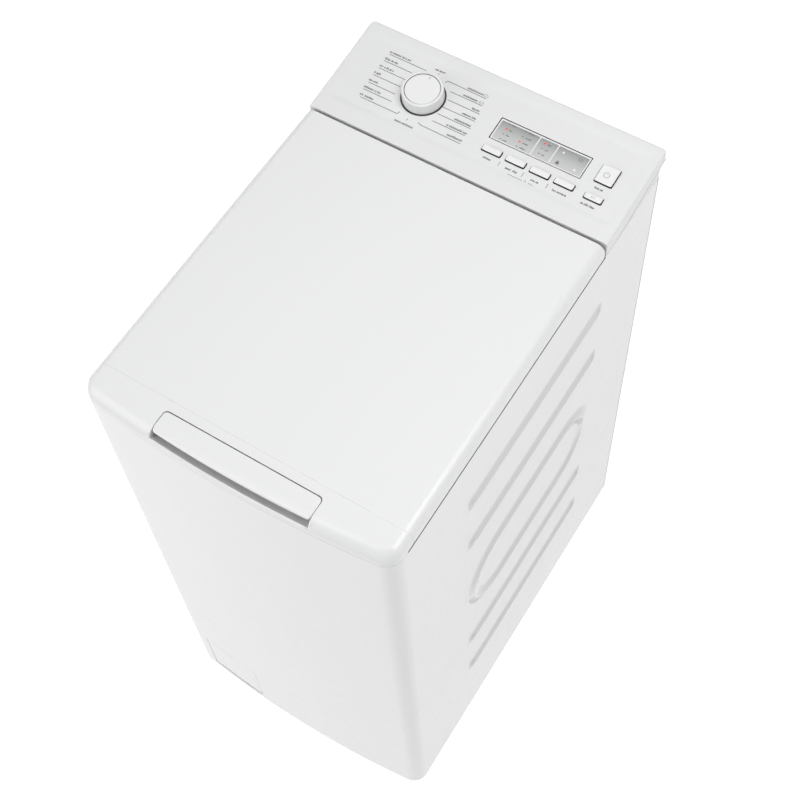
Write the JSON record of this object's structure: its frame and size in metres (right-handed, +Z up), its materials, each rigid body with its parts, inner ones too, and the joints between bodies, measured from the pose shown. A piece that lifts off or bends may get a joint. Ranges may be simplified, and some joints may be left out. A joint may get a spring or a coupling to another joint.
{
  "type": "top load washing machine",
  "caption": "Narrow top load washing machine with a bowed front, a lid with a lift handle, a control console, and a sprung tub with a belt driven drum that has two leaf doors.",
  "frame": {"origin": "centre of the base on the floor, under the middle of the bounding box", "axes": "+Z up, the front with the handle faces -Y, +X to the right seen from the front"},
  "size_m": [0.406, 0.601, 0.886],
  "materials": {
    "white_paint": "baked enamel, semi-gloss",
    "rear_paint": "coated steel sheet",
    "white_plastic": "gloss moulding",
    "inner_white": "satin moulding",
    "knob_plastic": "gloss moulding with a satin top",
    "display_grey": "glossy printed window",
    "circuit_board": "lacquered laminate",
    "dark_plastic": "moulded",
    "foot_plastic": "moulded, ribbed sole",
    "grey_plastic": "filled moulding",
    "tray_plastic": "moulded",
    "lifter_plastic": "moulded",
    "filter_plastic": "moulded",
    "black_rubber": "moulded rubber",
    "grey_rubber": "moulded rubber",
    "stainless": "rolled and perforated stainless",
    "zinc_steel": "zinc plated",
    "bearing_steel": "ground",
    "heater_metal": "heat tinted",
    "cast_aluminium": "as cast",
    "concrete": "cast concrete"
  },
  "bodies": {
    "cabinet": {"cabinet_wrap": "white_paint", "rear_panel": "rear_paint", "base_tray": "dark_plastic", "top_frame": "inner_white", "console_base": "white_plastic", "console_fascia": "white_plastic", "display_window": "display_grey", "control_board": "circuit_board", "program_switch": "dark_plastic", "door_lock": "inner_white", "lid_hinge_pins": "zinc_steel", "detergent_tray": "tray_plastic", "inlet_valve": "inner_white", "pressure_switch": "inner_white", "pump_housing": "grey_plastic", "pump_motor": "dark_plastic", "sump_hose": "black_rubber", "drain_pipe": "grey_plastic", "mains_gland": "dark_plastic", "damper_tubes": "dark_plastic", "spring_hangers": "zinc_steel", "suspension_springs": "zinc_steel", "bellows": "grey_rubber", "panel_screws": "zinc_steel", "rear_feet": "foot_plastic"},
    "foot_front_left": {"foot_front_left": "foot_plastic"},
    "foot_front_right": {"foot_front_right": "foot_plastic"},
    "tub": {"tub_left": "grey_plastic", "tub_right": "grey_plastic", "tub_bearings": "bearing_steel", "shaft_seals": "black_rubber", "heater": "heater_metal", "counterweight_front": "concrete", "counterweight_rear": "concrete", "motor_housing": "cast_aluminium", "drive_belt": "black_rubber", "damper_rods": "zinc_steel"},
    "drum": {"drum_shell": "stainless", "drum_ends": "stainless", "drum_lifters": "lifter_plastic", "drum_shafts": "bearing_steel", "drum_pulley": "cast_aluminium", "drum_door_pins": "zinc_steel"},
    "drum_door_front": {"drum_door_front": "stainless"},
    "drum_door_rear": {"drum_door_rear": "stainless"},
    "motor_rotor": {"motor_rotor": "bearing_steel"},
    "pump_impeller": {"pump_impeller": "inner_white"},
    "lid": {"lid_panel": "white_plastic", "lid_front_strip": "white_plastic", "lid_inner": "inner_white"},
    "lid_handle": {"lid_handle": "white_plastic"},
    "program_knob": {"program_knob": "knob_plastic"},
    "filter_flap": {"filter_flap": "white_plastic"},
    "drain_filter": {"drain_filter": "filter_plastic"},
    "temperature_button": {"temperature_button": "white_plastic"},
    "spin_button": {"spin_button": "white_plastic"},
    "rinse_button": {"rinse_button": "white_plastic"},
    "delay_button": {"delay_button": "white_plastic"},
    "power_button": {"power_button": "white_plastic"},
    "start_button": {"start_button": "white_plastic"}
  },
  "joints": [
    {"name": "foot_left_turn", "type": "hinge", "parent": "cabinet", "child": "foot_front_left", "pos_m": [-0.165, -0.252, 0], "axis": [0, 0, 1], "continuous": true},
    {"name": "foot_right_turn", "type": "hinge", "parent": "cabinet", "child": "foot_front_right", "pos_m": [0.165, -0.252, 0], "axis": [0, 0, 1], "continuous": true},
    {"name": "tub_bounce", "type": "slide", "parent": "cabinet", "child": "tub", "axis": [0, 0, 1], "range_m": [-0.008, 0.008], "stiffness_N_per_m": 12000, "springref_m": 0.03647, "deforming": ["suspension_springs", "bellows", "sump_hose"]},
    {"name": "drum_spin", "type": "hinge", "parent": "tub", "child": "drum", "pos_m": [0, -0.002, 0.445], "axis": [1, 0, 0], "range_deg": [-360, 360]},
    {"name": "drum_door_front_hinge", "type": "hinge", "parent": "drum", "child": "drum_door_front", "pos_m": [0, -0.11059, 0.64752], "axis": [1, 0, 0], "range_deg": [0, 85]},
    {"name": "drum_door_rear_hinge", "type": "hinge", "parent": "drum", "child": "drum_door_rear", "pos_m": [0, 0.10659, 0.64752], "axis": [-1, 0, 0], "range_deg": [0, 85]},
    {"name": "motor_spin", "type": "hinge", "parent": "tub", "child": "motor_rotor", "pos_m": [0, 0.175, 0.15], "axis": [1, 0, 0], "continuous": true},
    {"name": "pump_spin", "type": "hinge", "parent": "cabinet", "child": "pump_impeller", "pos_m": [-0.121, -0.15, 0.085], "axis": [0, 1, 0], "continuous": true},
    {"name": "lid_hinge", "type": "hinge", "parent": "cabinet", "child": "lid", "pos_m": [0, 0.151, 0.856], "axis": [-1, 0, 0], "range_deg": [0, 95]},
    {"name": "handle_lift", "type": "hinge", "parent": "lid", "child": "lid_handle", "pos_m": [0, -0.2675, 0.8575], "axis": [-1, 0, 0], "range_deg": [0, 12], "stiffness_Nm_per_rad": 0.4, "springref_deg": -11.46},
    {"name": "program_turn", "type": "hinge", "parent": "cabinet", "child": "program_knob", "pos_m": [-0.086, 0.23218, 0.8689], "axis": [0, -0.0929, 0.9957], "continuous": true},
    {"name": "temperature_press", "type": "slide", "parent": "cabinet", "child": "temperature_button", "axis": [0, 0.0929, -0.9957], "range_m": [0, 0.0015], "stiffness_N_per_m": 900, "springref_m": -0.0012},
    {"name": "spin_press", "type": "slide", "parent": "cabinet", "child": "spin_button", "axis": [0, 0.0929, -0.9957], "range_m": [0, 0.0015], "stiffness_N_per_m": 900, "springref_m": -0.0012},
    {"name": "rinse_press", "type": "slide", "parent": "cabinet", "child": "rinse_button", "axis": [0, 0.0929, -0.9957], "range_m": [0, 0.0015], "stiffness_N_per_m": 900, "springref_m": -0.0012},
    {"name": "delay_press", "type": "slide", "parent": "cabinet", "child": "delay_button", "axis": [0, 0.0929, -0.9957], "range_m": [0, 0.0015], "stiffness_N_per_m": 900, "springref_m": -0.0012},
    {"name": "power_press", "type": "slide", "parent": "cabinet", "child": "power_button", "axis": [0, 0.0929, -0.9957], "range_m": [0, 0.0015], "stiffness_N_per_m": 900, "springref_m": -0.0012},
    {"name": "start_press", "type": "slide", "parent": "cabinet", "child": "start_button", "axis": [0, 0.0929, -0.9957], "range_m": [0, 0.0015], "stiffness_N_per_m": 900, "springref_m": -0.0012},
    {"name": "flap_hinge", "type": "hinge", "parent": "cabinet", "child": "filter_flap", "pos_m": [-0.12118, -0.29166, 0.036], "axis": [0.9971, -0.0765, 0], "range_deg": [0, 85]},
    {"name": "filter_turn", "type": "hinge", "parent": "cabinet", "child": "drain_filter", "pos_m": [-0.121, -0.27, 0.085], "axis": [0, 1, 0], "range_deg": [0, 90]}
  ],
  "couplings": [
    {"joint": "motor_spin", "follows": "drum_spin", "ratio": 11.667}
  ]
}
